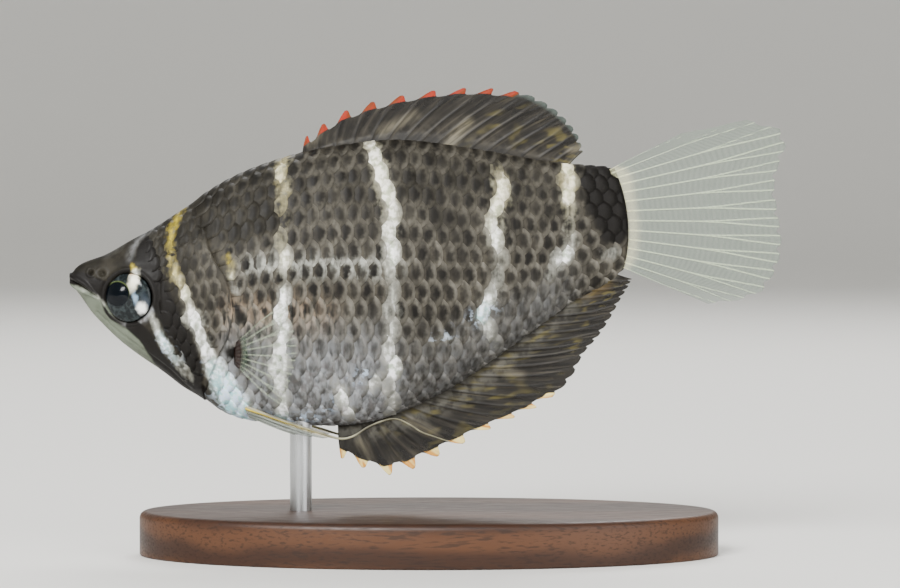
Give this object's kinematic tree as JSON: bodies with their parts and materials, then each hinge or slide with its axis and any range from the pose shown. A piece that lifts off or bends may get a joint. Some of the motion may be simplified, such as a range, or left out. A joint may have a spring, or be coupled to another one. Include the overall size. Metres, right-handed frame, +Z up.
{
  "type": "chocolate gourami display model",
  "caption": "Life-size chocolate gourami with a deep, flat-sided body, pointed snout, spread fins and trailing pelvic threads, held level on a rod over an oval base.",
  "frame": {"origin": "middle of the underside of the stand, on the surface that it stands on", "axes": "+X from the snout to the tail, +Y to the fish's right side, +Z up"},
  "size_m": [0.0521, 0.022, 0.0338],
  "materials": {
    "skin": "painted and clear-lacquered casting: chocolate brown with dark scale spots and pale bars",
    "eye": "polished",
    "dark_fin": "thin painted casting, satin",
    "clear_fin": "thin clear casting with pale rays",
    "walnut": "oiled",
    "steel": "brushed"
  },
  "bodies": {
    "root": {"head": "skin", "lower_jaw": "skin", "gill_cover_left": "skin", "gill_cover_right": "skin", "torso": "skin", "tail_peduncle": "skin", "eye_left": "eye", "eye_right": "eye", "dorsal_fin": "dark_fin", "anal_fin": "dark_fin", "caudal_fin": "clear_fin", "pectoral_fin_left": "clear_fin", "pectoral_fin_right": "clear_fin", "pelvic_fin_left": "dark_fin", "pelvic_fin_right": "dark_fin", "stand_base": "walnut", "stand_rod": "steel"}
  },
  "joints": []
}
